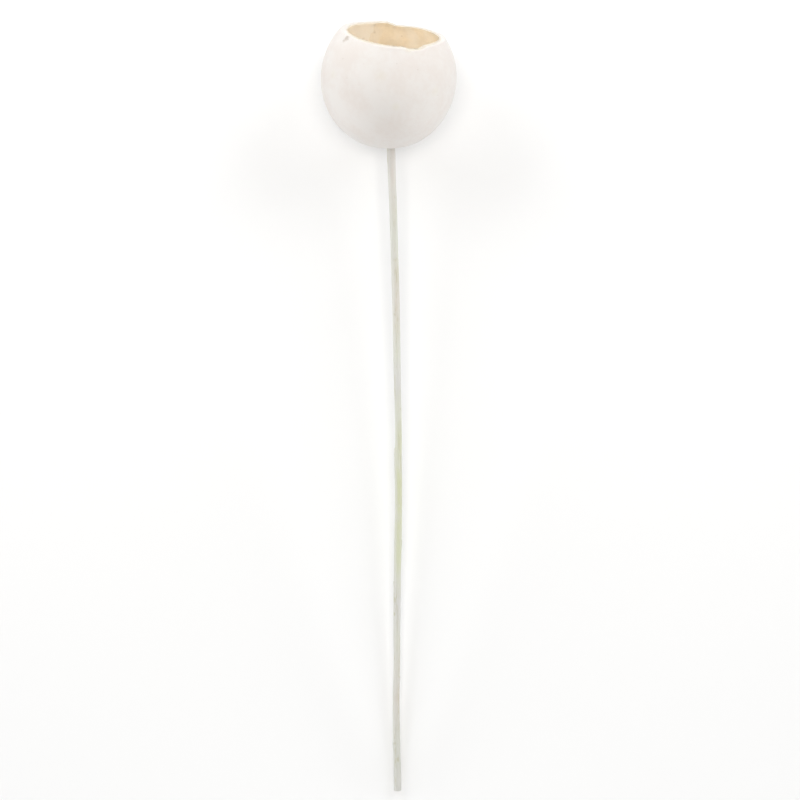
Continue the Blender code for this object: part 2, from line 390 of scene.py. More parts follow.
class CupForm:
    """The standing cup's skin, inner wall and saw cut, worked out from its settings."""

    def __init__(self, settings):
        self.radius = settings.cup_radius
        self.base_depth = settings.base_depth
        self.shoulder_height = settings.shoulder_height
        self.wall_at_mouth = settings.wall_at_mouth
        self.wall_at_base = settings.wall_at_base
        self.mouth = Vector((0, 0, settings.mouth_height))
        self.chip_depth = settings.chip_depth
        end, below = (Vector(point[:3]) for point in STEM_ROUTE[:2])
        self.hole_radius = max(STEM_ROUTE[0][3], STEM_ROUTE[1][3]) + HOLE_CLEARANCE
        self.hole_shift = (end.x + below.x) / 2 / ((-end.z - below.z) / 2)
        saw_turn = Euler((settings.mouth_dip_front, settings.mouth_dip_right, 0)).to_matrix()
        self.saw_normal = saw_turn @ UP
        self.to_saw = saw_turn.inverted()

    def skin_radius(self, direction):
        """How far the skin is from the cup's centre in a direction, before the mouth is sawn."""
        height = self.shoulder_height if direction.z > 0 else self.base_depth
        girth = direction.x**2 + direction.y**2
        ball = 1.0 / math.sqrt(girth / self.radius**2 + direction.z**2 / height**2)
        azimuth = math.atan2(direction.y, direction.x)
        from_base = direction.angle(-UP, 0.0)
        lobes = SKIN_LOBES * girth * math.sin(3 * azimuth + 2.6 * direction.z + 0.5)
        oval = OVALITY * direction.y**2
        dimple = BASE_DIMPLE * (1.0 - smooth_step(from_base / DIMPLE_ANGLE))
        return ball + lobes - oval - dimple

    def wall(self, direction):
        """The shell's thickness in a direction: more at the base, and uneven round the cup."""
        azimuth = math.atan2(direction.y, direction.x)
        girth = direction.x**2 + direction.y**2
        sides = math.cos(azimuth - THICK_SIDE) + math.cos(2 * (azimuth - THICK_ENDS))
        towards_base = smooth_step(0.5 - 0.6 * direction.z)
        even = self.wall_at_mouth + (self.wall_at_base - self.wall_at_mouth) * towards_base
        return even + WALL_UNEVENNESS * girth * sides

    def inner_radius(self, direction):
        """How far the inner wall is from the cup's centre in a direction, with its slight ridges."""
        azimuth = math.atan2(direction.y, direction.x)
        girth = direction.x**2 + direction.y**2
        ridges = math.sin(5 * azimuth + 4.0 * direction.z) + 0.5 * math.sin(9 * azimuth - 6.0 * direction.z)
        return self.skin_radius(direction) - self.wall(direction) + INNER_RIDGES * girth * ridges

    def above_saw(self, point):
        """How far a point is above the saw cut."""
        local = self.to_saw @ (point - self.mouth)
        azimuth = math.atan2(local.y, local.x)
        from_chip = abs(turn_between(azimuth, CHIP_AZIMUTH)) - CHIP_FLAT
        chip = 1.0 - smooth_step(from_chip / (CHIP_HALF_WIDTH - CHIP_FLAT))
        past_step = turn_between(azimuth, STEP_AZIMUTH)
        rise = smooth_step(abs(past_step) / STEP_HALF_WIDTH)
        rise *= 1.0 - smooth_step(abs(past_step) / STEP_FADE)
        step = math.copysign(STEP_HEIGHT / 2, past_step) * rise
        line = SAW_WANDER * math.cos(2 * azimuth) + step - self.chip_depth * chip
        return local.z - line * local.xy.length / RIM_RADIUS

    def direction(self, from_base, azimuth):
        """The direction at an angle from the base. Near the base, rings are centred on the stem's hole."""
        shift = self.hole_shift * (1.0 - smooth_step(from_base / HOLE_CENTRED))
        across = on_cylinder(azimuth, 0.0, math.sin(from_base))
        return Vector((across.x + shift, across.y, -math.cos(from_base))).normalized()

    def rim_angle(self, azimuth, radius_in):
        """The angle from the base at which a wall meets the saw cut, found by halving."""
        low, high = RIM_BETWEEN
        for _ in range(RIM_HALVINGS):
            middle = (low + high) / 2
            direction = self.direction(middle, azimuth)
            if self.above_saw(direction * radius_in(direction)) < 0:
                low = middle
            else:
                high = middle
        return (low + high) / 2


def lie_down(form):
    """The move from the standing pod to where the CAD cup lies, with its mouth raised a little."""
    centre_height = form.skin_radius(Vector((0, 1, 0))) - FLAT_DEPTH
    _, backwards, height, radius = STEM_ROUTE[-1]
    reach = math.hypot(height, backwards + radius)
    lean = math.asin(centre_height / reach) - math.atan2(backwards + radius, -height)
    centre_across = (CUP_LOW.x + CUP_HIGH.x) / 2 + CENTRE_SHIFT
    centre = Vector((centre_across, CUP_LOW.y + BASE_REACH, centre_height))
    return Matrix.Translation(centre) @ Matrix.Rotation(lean - math.pi / 2, 4, "X")


def ring_ladder(rows, sides, closed):
    """A spun ladder of rings, one for each row, whose height is the row's number.

    Each ring point is later moved to its real place. A closed ladder joins its last ring to its first.
    """
    bm = bmesh.new()
    chain = [bm.verts.new((1.0, 0.0, float(row))) for row in range(rows)]
    links = [bm.edges.new(pair) for pair in zip(chain, chain[1:])]
    if closed:
        links.append(bm.edges.new((chain[-1], chain[0])))
    bmesh.ops.spin(
        bm,
        geom=chain + links,
        cent=(0, 0, 0),
        axis=(0, 0, 1),
        angle=math.tau,
        steps=sides,
        use_merge=True,
    )
    return bm


def finish_mesh(bm, name, material, lying):
    """Lays a standing mesh down, points its faces outwards and makes it an object at the origin."""
    bmesh.ops.transform(bm, matrix=lying, verts=bm.verts)
    for vert in bm.verts:
        vert.co.z = max(vert.co.z, 0.0)
    if bm.calc_volume(signed=True) < 0:
        bmesh.ops.reverse_faces(bm, faces=bm.faces)
    mesh = bpy.data.meshes.new(name)
    bm.to_mesh(mesh)
    bm.free()
    mesh.shade_smooth()
    mesh.materials.append(material)
    obj = bpy.data.objects.new(name, mesh)
    bpy.context.scene.collection.objects.link(obj)
    return obj


class CupSurface:
    """Places every ring point of the shell's ladder, and says what shows there."""

    SKIN_ROWS = 112
    EDGE_ROWS = 5
    RIM_ROWS = 9
    INSIDE_ROWS = 96
    HOLE_ROWS = 3
    # How much closer together rows stand towards the rim
    ROW_EASE = 0.3
    # How far the hole's rows stay from either face, as a share of the wall
    HOLE_EDGE = 0.1

    # Rounding of the rim's edges in millimetres: the least, what wear adds and what crumbling adds
    OUTER_ROUND = (0.34, 0.30, 0.5)
    INNER_ROUND = (0.22, 0.22, 0.7)
    # Depths of what makes each surface uneven, and how far from the rim it comes in
    SKIN_SWELL = 0.16 * MM
    SKIN_PEBBLE = 0.05 * MM
    SKIN_FADE = 3 * MM
    SAW_DEPTH = 0.04 * MM
    SAW_SCORES = 0.035 * MM
    TORN_GRAIN = 0.030 * MM
    WALL_FIBRES = 0.07 * MM
    WALL_CRUST = 0.22 * MM
    WALL_FADE = 5 * MM
    # How raggedly the membrane is torn, and how softly it ends at its sides and below
    MEMBRANE_TEAR = 0.07
    MEMBRANE_SIDE_FADE = 0.035
    MEMBRANE_FLOOR_FADE = 0.05

    def __init__(self, form):
        self.form = form
        self.rows = self.list_rows()
        self.meridians = {}

    def list_rows(self):
        rows = []
        for zone, count in (
            ("skin", self.SKIN_ROWS),
            ("outer_edge", self.EDGE_ROWS),
            ("rim", self.RIM_ROWS),
            ("inner_edge", self.EDGE_ROWS),
            ("inside", self.INSIDE_ROWS),
            ("hole", self.HOLE_ROWS),
        ):
            rows += [(zone, (number + 0.5) / count) for number in range(count)]
        return rows

    def meridian(self, azimuth):
        """The two corners of the sawn rim at an azimuth, and the ways along the wall to and from them."""
        key = round(azimuth, 6)
        if key in self.meridians:
            return self.meridians[key]
        form = self.form
        found = {}
        for side, radius_in in (("outer", form.skin_radius), ("inner", form.inner_radius)):
            angle = form.rim_angle(azimuth, radius_in)
            corner, before = (
                direction * radius_in(direction)
                for direction in (form.direction(angle - step, azimuth) for step in (0.0, 0.01))
            )
            found[side] = (angle, corner, (corner - before).normalized())
        where = on_cylinder(azimuth, 0.0)
        wear = 0.5 + 0.5 * noise.fractal(where * 2.3, 1.0, 2.0, 3)
        crumble = max(0.0, noise.fractal(where * 9.0 + Vector((5, 0, 0)), 0.8, 2.2, 4) - 0.15)
        for name, worn, (least, by_wear, by_crumbs) in (
            ("outer_round", wear, self.OUTER_ROUND),
            ("inner_round", 1 - wear, self.INNER_ROUND),
        ):
            found[name] = (least + by_wear * worn + by_crumbs * crumble) * MM
        self.meridians[key] = found
        return found

    def place(self, row, azimuth):
        """The point of a row at an azimuth, how far it is past the outer edge, and the rim's width."""
        zone, way = self.rows[row]
        found = self.meridian(azimuth)
        form = self.form
        outer_angle, outer, up_skin = found["outer"]
        inner_angle, inner, up_inside = found["inner"]
        outer_round, inner_round = found["outer_round"], found["inner_round"]
        across = (inner - outer).normalized()
        width = (inner - outer).length
        if zone == "skin":
            start = math.asin(form.hole_radius / form.base_depth)
            stop = outer_angle - outer_round / form.radius
            eased = way * (1 + self.ROW_EASE * (1 - way))
            angle = start + (stop - start) * eased
            direction = form.direction(angle, azimuth)
            past = (angle - outer_angle) * form.radius
            relief = self.skin_relief(direction, -past)
            return direction * (form.skin_radius(direction) - relief), past, width
        if zone == "outer_edge":
            bend = way * math.pi / 2
            back = outer_round * (1 - math.sin(bend))
            on = outer_round * (1 - math.cos(bend))
            return outer - up_skin * back + across * on, on - back, width
        if zone == "rim":
            on = outer_round + (width - outer_round - inner_round) * way
            point = outer + across * on
            return point - form.saw_normal * self.saw_marks(point), on, width
        if zone == "inner_edge":
            bend = way * math.pi / 2
            short = inner_round * (1 - math.sin(bend))
            down = inner_round * (1 - math.cos(bend))
            return inner - across * short - up_inside * down, width - short + down, width
        if zone == "inside":
            floor_radius = form.base_depth - form.wall_at_base
            start = inner_angle - inner_round / floor_radius
            stop = math.asin(form.hole_radius / floor_radius)
            eased = way * (1 - self.ROW_EASE * (1 - way))
            angle = start + (stop - start) * eased
            direction = form.direction(angle, azimuth)
            past = width + (inner_angle - angle) * floor_radius
            relief = self.inner_relief(direction, past)
            return direction * (form.inner_radius(direction) - relief), past, width
        angle = math.asin(form.hole_radius / form.base_depth)
        direction = form.direction(angle, azimuth)
        thickness = form.wall_at_base * (1 - self.HOLE_EDGE - (1 - 2 * self.HOLE_EDGE) * way)
        return direction * (form.skin_radius(direction) - thickness), form.radius, width

    def skin_relief(self, direction, below_edge):
        """How far the skin lies inside its smooth form: slow swells, bruises and small pocks."""
        swell = 0.5 + 0.5 * noise.fractal(direction * 2.6, 1.0, 2.0, 3)
        pebble = 0.5 + 0.5 * noise.noise(direction * 14.0)
        relief = self.SKIN_SWELL * swell + self.SKIN_PEBBLE * pebble
        point = direction * self.form.radius
        for azimuth, height, radius, depth in SKIN_DENTS:
            level = math.sqrt(self.form.radius**2 - height**2)
            distance = (point - on_cylinder(azimuth * TO_RADIANS, height, level)).length
            relief += depth * (1.0 - smooth_step(distance / radius))
        return relief * smooth_step(below_edge / self.SKIN_FADE)

    def saw_marks(self, point):
        """The saw's shallow curved scores across the rim, and the grain that it tore."""
        stroke = noise.noise(Vector((point.x * 260, point.y * 1500, 0.0)))
        torn = noise.fractal(point * 1700, 0.8, 2.0, 2)
        return self.SAW_DEPTH + self.SAW_SCORES * stroke + self.TORN_GRAIN * torn

    def membrane(self, direction):
        """How much of the papery skin is left at a place on the inner wall, from 0 to 1."""
        azimuth = math.atan2(direction.y, direction.x) % math.tau
        torn = self.MEMBRANE_TEAR * noise.fractal(direction * 7.0, 0.9, 2.0, 4)
        height = direction.z * self.form.radius
        inside = min(azimuth - MEMBRANE_FROM, MEMBRANE_TO - azimuth) + torn
        above = (height - MEMBRANE_FLOOR) / self.form.radius + 2.2 * torn
        between_sides = smooth_step(inside / self.MEMBRANE_SIDE_FADE + 0.5)
        return between_sides * smooth_step(above / self.MEMBRANE_FLOOR_FADE + 0.5)

    def inner_relief(self, direction, past):
        """How far the inner wall stands in from its smooth form: fibres, crusts and the membrane."""
        fibres = noise.fractal(Vector((direction.x * 26, direction.y * 26, direction.z * 5)), 0.8, 2.0, 3)
        crust = max(0.0, noise.fractal(direction * 6.0 + Vector((3, 1, 0)), 0.9, 2.1, 4))
        relief = self.WALL_FIBRES * fibres + self.WALL_CRUST * crust
        relief += MEMBRANE_THICKNESS * self.membrane(direction)
        return relief * smooth_step(past / self.WALL_FADE)

    def flaw(self, point, spots):
        """How strongly the nearest of some spots marks a place, from 0 to 1."""
        marked = 0.0
        for azimuth, height, from_axis, radius, strength in spots:
            distance = (point - on_cylinder(azimuth * TO_RADIANS, height, from_axis)).length
            marked = max(marked, strength * (1.0 - smooth_step(distance / radius)))
        return marked


def shell_mesh(settings):
    """The shell as one closed mesh, with what shows at each point kept in its attributes."""
    surface = CupSurface(CupForm(settings))
    bm = ring_ladder(len(surface.rows), settings.sides, closed=True)
    past_edge, past_lip, membrane = (
        bm.verts.layers.float.new(name) for name in ("past_edge", "past_lip", "membrane")
    )
    # Brown flaws, yellow stains and the painted shade of the inner wall, kept at each point
    marks = {
        bm.verts.layers.float.new(name): spots
        for name, spots in (("flaws", BROWN_FLAWS), ("stains", SHELL_STAINS), ("painted_shade", WALL_PAINTED_SHADE))
    }
    for vert in bm.verts:
        azimuth = math.atan2(vert.co.y, vert.co.x)
        point, past, width = surface.place(round(vert.co.z), azimuth)
        vert.co = point
        drift = OVERSPRAY * (1 + math.cos(2 * azimuth)) - LEFT_OVERSPRAY * math.cos(azimuth)
        vert[past_edge] = past / MM - drift
        vert[past_lip] = (past - width) / MM
        vert[membrane] = surface.membrane(point.normalized())
        for layer, spots in marks.items():
            vert[layer] = surface.flaw(point, spots)
    return bm


class StemSurface:
    """Places every ring point of the stick's ladder along its route."""

    END_ROWS = 8
    EDGE_ROWS = 4
    EDGE_ROUND = 0.00028
    MEAN_RADIUS = 0.0021
    MERGE_DISTANCE = 0.000001
    # How far the bark stands out from a round stick, in millimetres, and the most in metres
    THREE_SIDES = 0.030
    FIVE_SIDES = 0.022
    RIBS = 0.060
    LUMPS = 0.045
    MOST_OUT = 0.0002
    # A knot in halves of its length: where its ledge starts and fades, its scar and its whole reach
    LEDGE_START = 0.25
    LEDGE_FADE = 2.6
    SCAR_LENGTH = 0.35
    KNOT_REACH = 3
    # How far round the stick a knot goes, in radians, and its scar's depth as a share of its rise
    KNOT_TURN = 1.15
    SCAR_DEPTH = 0.35
    # A pit's width as a share of its length
    PIT_NARROWNESS = 0.6

    def __init__(self, settings):
        self.top = STEM_ROUTE[0][2]
        self.bottom = STEM_ROUTE[-1][2]
        self.length = self.top - self.bottom
        body_rows = round(self.length / settings.ring_pitch)
        ends = [number / self.END_ROWS for number in range(self.END_ROWS)]
        edge = [(number + 0.5) / self.EDGE_ROWS for number in range(self.EDGE_ROWS)]
        body = [number / body_rows for number in range(body_rows + 1)]
        self.rows = [("top_face", way) for way in ends]
        self.rows += [("top_edge", way) for way in edge]
        self.rows += [("side", way) for way in body]
        self.rows += [("cut_edge", way) for way in edge]
        self.rows += [("cut_face", 1 - way - 1 / self.END_ROWS) for way in ends]

    def centre_and_radius(self, height):
        """The route's point and thickness at a height, on a smooth curve through its stations."""
        last = len(STEM_ROUTE) - 2
        span = next((n for n in range(last) if STEM_ROUTE[n + 1][2] < height), last)
        stations = [STEM_ROUTE[min(max(n, 0), last + 1)] for n in range(span - 1, span + 3)]
        before, start, stop, after = stations
        step = start[2] - stop[2]
        way = (start[2] - height) / step
        square, cube = way**2, way**3
        values = []
        for axis in (0, 1, 3):
            slope_in = (stop[axis] - before[axis]) / (before[2] - stop[2])
            slope_out = (after[axis] - start[axis]) / (start[2] - after[2])
            values.append(
                (2 * cube - 3 * square + 1) * start[axis]
                + (cube - 2 * square + way) * slope_in * step
                + (3 * square - 2 * cube) * stop[axis]
                + (cube - square) * slope_out * step
            )
        return Vector((values[0], values[1], height)), values[2]

    def relief(self, height, azimuth):
        """How far the bark stands out from a plain round stick, and how knotty it is there."""
        around = on_cylinder(azimuth, 0.0)
        along = height * 1000
        flat_sides = self.THREE_SIDES * math.cos(3 * azimuth + along * 0.010)
        flat_sides += self.FIVE_SIDES * math.cos(5 * azimuth + 1.7)
        ribs = noise.fractal(Vector((around.x * 3.2, around.y * 3.2, along * 0.030)), 0.9, 2.1, 3)
        lumps = noise.noise(Vector((around.x * 0.8, around.y * 0.8, along * 0.16)))
        out = (flat_sides + self.RIBS * ribs + self.LUMPS * lumps) * MM
        knotty = 0.0
        for level, side, rise, half_length in STEM_KNOTS:
            apart = turn_between(azimuth, side * TO_RADIANS)
            down = level - height
            if abs(down) > self.KNOT_REACH * half_length:
                continue
            fading = 1 - smooth_step(down / (self.LEDGE_FADE * half_length))
            ledge = smooth_step(down / (self.LEDGE_START * half_length) + 0.5) * fading
            facing = math.exp(-((apart / self.KNOT_TURN) ** 2))
            out += rise * ledge * facing
            scar = math.exp(-((down / (self.SCAR_LENGTH * half_length)) ** 2)) * facing
            out -= self.SCAR_DEPTH * rise * scar
            knotty = max(knotty, scar)
        for level, side, depth, radius in STEM_PITS:
            apart = turn_between(azimuth, side * TO_RADIANS) * self.MEAN_RADIUS
            distance = math.hypot(apart, (height - level) * self.PIT_NARROWNESS)
            hollow = 1.0 - smooth_step(distance / radius)
            out -= depth * hollow
            knotty = max(knotty, PIT_DARKNESS * hollow)
        return out, knotty

    def place(self, row, azimuth):
        """The point of a row at an azimuth, how knotty it is, and how far it is across the cut end."""
        zone, way = self.rows[row]
        cut = 0.0
        if zone == "side":
            height = self.top - self.EDGE_ROUND - (self.length - 2 * self.EDGE_ROUND) * way
            shrink = 0.0
        elif zone in ("top_edge", "cut_edge"):
            bend = way * math.pi / 2
            if zone == "top_edge":
                height = self.top - self.EDGE_ROUND * (1 - math.sin(bend))
                shrink = self.EDGE_ROUND * (1 - math.sin(bend))
            else:
                height = self.bottom + self.EDGE_ROUND * (1 - math.sin(bend))
                shrink = self.EDGE_ROUND * (1 - math.cos(bend))
        else:
            height = self.top if zone == "top_face" else self.bottom
            shrink = self.EDGE_ROUND
            cut = 1.0
        centre, radius = self.centre_and_radius(height)
        out, knotty = self.relief(height, azimuth)
        reach = radius + min(out, self.MOST_OUT) - shrink
        if cut:
            reach *= way
            rough = noise.fractal(on_cylinder(azimuth, 0.0, reach * CUT_GRAIN), 0.8, 2.0, 3)
            centre.z += (0.05 + 0.05 * rough) * MM if zone == "cut_face" else 0.0
        return centre + on_cylinder(azimuth, 0.0, reach), knotty, cut


def stem_mesh(settings):
    """The stick as one closed mesh, with its knots and its cut ends kept in its attributes."""
    surface = StemSurface(settings)
    bm = ring_ladder(len(surface.rows), settings.sides, closed=False)
    knots, cut_ends, sprayed = (
        bm.verts.layers.float.new(name) for name in ("knots", "cut_ends", "sprayed")
    )
    for vert in bm.verts:
        azimuth = math.atan2(vert.co.y, vert.co.x)
        vert.co, vert[knots], vert[cut_ends] = surface.place(round(vert.co.z), azimuth)
        vert[sprayed] = math.cos(azimuth - SPRAYED_SIDE)
    bmesh.ops.remove_doubles(bm, verts=bm.verts, dist=surface.MERGE_DISTANCE)
    return bm


def glue_mesh(settings, form):
    """A slumped drop over the stem's end, which stops at the inner wall."""
    end = Vector(STEM_ROUTE[0][:3])
    bm = bmesh.new()
    bmesh.ops.create_uvsphere(bm, u_segments=72, v_segments=40, radius=1.0)
    for vert in bm.verts:
        direction = vert.co.normalized()
        azimuth = math.atan2(direction.y, direction.x)
        uneven = GLUE_LOBES * math.sin(3 * azimuth + 1.0) + GLUE_LUMPS * noise.noise(direction * 2.5)
        spread = settings.bead_radius * (1.0 + uneven)
        point = Vector((direction.x * spread, direction.y * spread, direction.z * settings.bead_height))
        point += Vector((end.x, end.y, GLUE_HEIGHT))
        limit = form.inner_radius(point.normalized()) - GLUE_GAP
        if point.length > limit:
            point = point.normalized() * limit
        vert.co = point
    return bm


class NodeBuilder:
    """Adds nodes to a tree, with their inputs set or joined by name."""

    def __init__(self, tree):
        self.tree = tree

    def put(self, socket, value):
        if isinstance(value, bpy.types.NodeSocket):
            self.tree.links.new(value, socket)
        else:
            socket.default_value = value

    def add(self, kind, inputs, **settings):
        node = self.tree.nodes.new(kind)
        for name, value in settings.items():
            setattr(node, name, value)
        for name, value in inputs.items():
            self.put(node.inputs[name], value)
        return node

    def maths(self, operation, first, second):
        return self.add("ShaderNodeMath", {0: first, 1: second}, operation=operation).outputs[0]

    def sum(self, first, second):
        return self.maths("ADD", first, second)

    def less(self, first, second):
        return self.maths("SUBTRACT", first, second)

    def times(self, first, second):
        return self.maths("MULTIPLY", first, second)

    def mix(self, factor, first, second):
        """One colour over another."""
        return self.add("ShaderNodeMix", {0: factor, 6: first, 7: second}, data_type="RGBA").outputs[2]

    def over(self, under, mask, strength, colour):
        """A colour of the settings over what lies under it, where a mask says."""
        return self.mix(self.times(mask, strength), under, rgba(colour))

    def between(self, value, low, high, to_low=0.0, to_high=1.0):
        """A smooth step from to_low to to_high as the value goes from low to high."""
        inputs = {"Value": value, "From Min": low, "From Max": high, "To Min": to_low, "To Max": to_high}
        return self.add("ShaderNodeMapRange", inputs, interpolation_type="SMOOTHSTEP").outputs["Result"]

    def cloud(self, vector, scale, detail, roughness=0.55, distortion=0.0):
        inputs = {
            "Vector": vector,
            "Scale": scale,
            "Detail": detail,
            "Roughness": roughness,
            "Distortion": distortion,
        }
        return self.add("ShaderNodeTexNoise", inputs).outputs["Fac"]

    def stretched(self, vector, factors):
        inputs = {0: vector, 1: factors}
        return self.add("ShaderNodeVectorMath", inputs, operation="MULTIPLY").outputs[0]

    def attribute(self, name):
        return self.add("ShaderNodeAttribute", {}, attribute_name=name).outputs["Fac"]

    def group(self, tree, inputs):
        node = self.tree.nodes.new("ShaderNodeGroup")
        node.node_tree = tree
        for name, value in inputs.items():
            self.put(node.inputs[name], value)
        return node.outputs


SOCKETS = {"value": "NodeSocketFloat", "vector": "NodeSocketVector", "colour": "NodeSocketColor"}


def start_group(name, inputs, outputs):
    """A new node group with named sockets: its builder, its inputs and its output node."""
    tree = bpy.data.node_groups.new(name, "ShaderNodeTree")
    for label, kind in inputs.items():
        tree.interface.new_socket(label, in_out="INPUT", socket_type=SOCKETS[kind])
    for label, kind in outputs.items():
        tree.interface.new_socket(label, in_out="OUTPUT", socket_type=SOCKETS[kind])
    start = tree.nodes.new("NodeGroupInput")
    end = tree.nodes.new("NodeGroupOutput")
    return NodeBuilder(tree), start.outputs, end.inputs


def group_named(name, make):
    return bpy.data.node_groups.get(name) or make(name)


def make_mottle(name):
    """Two like colours that drift into each other in slow clouds with a finer bloom over them."""
    inputs = {"Vector": "vector", "Scale": "value", "Colour": "colour", "Other Colour": "colour"}
    build, given, out = start_group(name, inputs, {"Colour": "colour", "Cloud": "value"})
    slow = build.cloud(given["Vector"], given["Scale"], detail=3.0, roughness=0.5)
    fine_scale = build.times(given["Scale"], 7.0)
    fine = build.cloud(given["Vector"], fine_scale, detail=2.0, roughness=0.5)
    both = build.sum(build.times(slow, 0.72), build.times(fine, 0.28))
    cloud = build.between(both, 0.36, 0.64)
    build.put(out["Colour"], build.mix(cloud, given["Colour"], given["Other Colour"]))
    build.put(out["Cloud"], cloud)
    return build.tree


def make_specks(name):
    """Small dark pores, thinly sown: one in a few cells, each with its own size."""
    inputs = {"Vector": "vector", "Scale": "value", "Size": "value", "Share": "value"}
    build, given, out = start_group(name, inputs, {"Specks": "value"})
    shaken = build.cloud(given["Vector"], build.times(given["Scale"], 1.7), detail=1.0)
    wobble = build.times(build.less(shaken, 0.5), 0.35)
    cell = build.add("ShaderNodeTexVoronoi", {"Vector": given["Vector"], "Scale": given["Scale"]})
    parts = build.add("ShaderNodeSeparateColor", {"Color": cell.outputs["Color"]}).outputs
    chosen = build.maths("LESS_THAN", parts["Red"], given["Share"])
    size = build.times(given["Size"], build.sum(parts["Green"], 0.35))
    distance = build.sum(cell.outputs["Distance"], wobble)
    nearness = build.between(distance, size, build.times(size, 0.45))
    build.put(out["Specks"], build.times(chosen, nearness))
    return build.tree


def make_fibres(name):
    """Lengthwise wood fibres, drawn out along the given stretch, with broader streaks among them."""
    inputs = {"Vector": "vector", "Stretch": "vector", "Scale": "value"}
    build, given, out = start_group(name, inputs, {"Fibres": "value", "Streaks": "value"})
    drawn = build.stretched(given["Vector"], given["Stretch"])
    fine = build.cloud(drawn, given["Scale"], detail=4.0, roughness=0.62, distortion=0.3)
    broad_scale = build.times(given["Scale"], 0.22)
    broad = build.cloud(drawn, broad_scale, detail=3.0, roughness=0.5, distortion=0.2)
    build.put(out["Fibres"], fine)
    build.put(out["Streaks"], build.between(broad, 0.38, 0.62))
    return build.tree


def make_thin_paint(name):
    """How far paint covers: all where Cover is well above zero, none well below, and torn in between."""
    inputs = {"Vector": "vector", "Cover": "value", "Tear Scale": "value", "Tear Depth": "value"}
    build, given, out = start_group(name, inputs, {"Paint": "value"})
    tear = build.less(build.cloud(given["Vector"], given["Tear Scale"], detail=5.0, roughness=0.65), 0.5)
    cover = build.sum(given["Cover"], build.times(tear, given["Tear Depth"]))
    build.put(out["Paint"], build.between(cover, -0.12, 0.12))
    return build.tree


def new_material(name, roughness, preview):
    """A material with only its Principled shader: its builder and the shader's inputs."""
    material = bpy.data.materials.new(name)
    material.use_nodes = True
    material.diffuse_color = (*preview, 1.0)
    shader = material.node_tree.nodes["Principled BSDF"]
    shader.inputs["Roughness"].default_value = roughness
    shader.inputs["Specular IOR Level"].default_value = 0.35
    return material, NodeBuilder(material.node_tree), shader.inputs


def rgba(colour):
    return (*colour, 1.0)


def standing_coordinates(build, lying):
    """Object coordinates turned back to where the pod stands, so that patterns follow its axis."""
    back = lying.inverted()
    place = build.add("ShaderNodeTexCoord", {}).outputs["Object"]
    inputs = {"Vector": place, "Location": back.translation, "Rotation": back.to_euler()}
    return build.add("ShaderNodeMapping", inputs).outputs["Vector"]


def mottled(build, vector, scale, colour, other):
    inputs = {"Vector": vector, "Scale": scale, "Colour": colour, "Other Colour": other}
    return build.group(group_named("soft_mottle", make_mottle), inputs)


def sown(build, vector, scale, size, share):
    inputs = {"Vector": vector, "Scale": scale, "Size": size, "Share": share}
    return build.group(group_named("sown_specks", make_specks), inputs)["Specks"]


def grown(build, vector, stretch, scale):
    inputs = {"Vector": vector, "Stretch": stretch, "Scale": scale}
    return build.group(group_named("wood_fibres", make_fibres), inputs)


def torn_paint(build, vector, cover, scale, depth):
    inputs = {"Vector": vector, "Cover": cover, "Tear Scale": scale, "Tear Depth": depth}
    return build.group(group_named("thin_paint", make_thin_paint), inputs)["Paint"]


def put_bump(build, shader, height, strength, distance):
    inputs = {"Strength": strength, "Distance": distance, "Height": height}
    build.put(shader["Normal"], build.add("ShaderNodeBump", inputs).outputs["Normal"])


